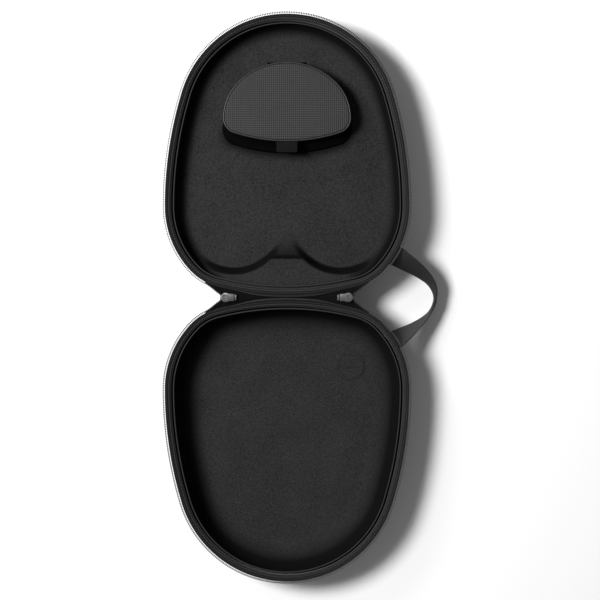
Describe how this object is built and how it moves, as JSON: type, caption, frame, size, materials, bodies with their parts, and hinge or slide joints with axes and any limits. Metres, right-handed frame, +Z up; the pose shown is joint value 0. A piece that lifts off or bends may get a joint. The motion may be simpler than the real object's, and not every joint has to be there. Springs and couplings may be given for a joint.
{
  "type": "headphone carrying case",
  "caption": "Zip-round moulded case for over-ear headphones, lying open: two shells on a fabric hinge, lidded cable pocket, sleep magnet and carrying strap.",
  "frame": {"origin": "middle of the base shell's flat underside, on the surface that the open case lies on", "axes": "+Z up out of the open halves, +Y from the base to the lid across the hinge, +X to the side that has the strap"},
  "size_m": [0.2105, 0.436, 0.0403],
  "materials": {
    "shell": "moulded foam board, black woven outer cover",
    "lining": "black tricot knit, laminated, matte",
    "foam": "moulded foam, hidden",
    "piping": "thin dark grey woven binding",
    "zip_tape": "black woven twill zip tape",
    "zip_coil": "dark grey moulded nylon coil",
    "hinge_fabric": "black woven fabric",
    "strap": "dark grey smooth webbing, satin",
    "pocket": "moulded black cover, matte",
    "facing": "dark grey ribbed knit mesh",
    "tab": "dark grey woven tape",
    "holder": "moulded ring, hidden",
    "magnet": "nickel plated magnet, hidden",
    "zip_metal": "satin gunmetal"
  },
  "bodies": {
    "base": {"base_shell": "shell", "base_lining": "lining", "sleep_magnet": "magnet", "magnet_holder": "holder", "base_rim_piping": "piping", "base_zip_tape": "zip_tape", "base_zip_coil": "zip_coil", "base_hinge_leaf": "hinge_fabric", "base_strap_half": "strap"},
    "lid": {"lid_shell": "shell", "lid_insert": "foam", "lid_lining": "lining", "lid_rim_piping": "piping", "lid_zip_tape": "zip_tape", "lid_zip_coil": "zip_coil", "lid_hinge_leaf": "hinge_fabric", "lid_strap_half": "strap", "pocket_tray": "pocket", "pocket_tray_magnet": "magnet", "pocket_hinge_strip": "hinge_fabric"},
    "pocket_lid": {"pocket_lid_board": "pocket", "pocket_lid_facing": "facing", "pocket_lid_magnet": "magnet", "pocket_pull_tab": "tab"},
    "right_zip_end": {"right_zip_end_stop": "zip_metal"},
    "right_slider": {"right_slider_body": "zip_metal"},
    "right_pull": {"right_slider_pull": "zip_metal"},
    "left_zip_end": {"left_zip_end_stop": "zip_metal"},
    "left_slider": {"left_slider_body": "zip_metal"},
    "left_pull": {"left_slider_pull": "zip_metal"}
  },
  "joints": [
    {"name": "lid_hinge", "type": "hinge", "parent": "base", "child": "lid", "pos_m": [0, 0.109, 0.038], "axis": [-1, 0, 0], "range_deg": [-180, 0]},
    {"name": "pocket_lid_hinge", "type": "hinge", "parent": "lid", "child": "pocket_lid", "pos_m": [0, 0.2893, 0.0303], "axis": [-1, 0, 0], "range_deg": [0, 110]},
    {"name": "right_zip_end_tilt", "type": "hinge", "parent": "base", "child": "right_zip_end", "pos_m": [0, 0.109, 0.038], "axis": [-1, 0, 0], "range_deg": [-90, 0]},
    {"name": "right_slider_travel", "type": "slide", "parent": "right_zip_end", "child": "right_slider", "axis": [1, 0, 0], "range_m": [0, 0.008]},
    {"name": "right_pull_swing", "type": "hinge", "parent": "right_slider", "child": "right_pull", "pos_m": [0.0463, 0.109, 0.03475], "axis": [0, 1, 0], "range_deg": [-85, 85]},
    {"name": "left_zip_end_tilt", "type": "hinge", "parent": "base", "child": "left_zip_end", "pos_m": [0, 0.109, 0.038], "axis": [-1, 0, 0], "range_deg": [-90, 0]},
    {"name": "left_slider_travel", "type": "slide", "parent": "left_zip_end", "child": "left_slider", "axis": [-1, 0, 0], "range_m": [0, 0.008]},
    {"name": "left_pull_swing", "type": "hinge", "parent": "left_slider", "child": "left_pull", "pos_m": [-0.0463, 0.109, 0.03475], "axis": [0, 1, 0], "range_deg": [-85, 85]}
  ],
  "couplings": [
    {"joint": "right_zip_end_tilt", "follows": "lid_hinge", "ratio": 0.5},
    {"joint": "left_zip_end_tilt", "follows": "lid_hinge", "ratio": 0.5}
  ]
}
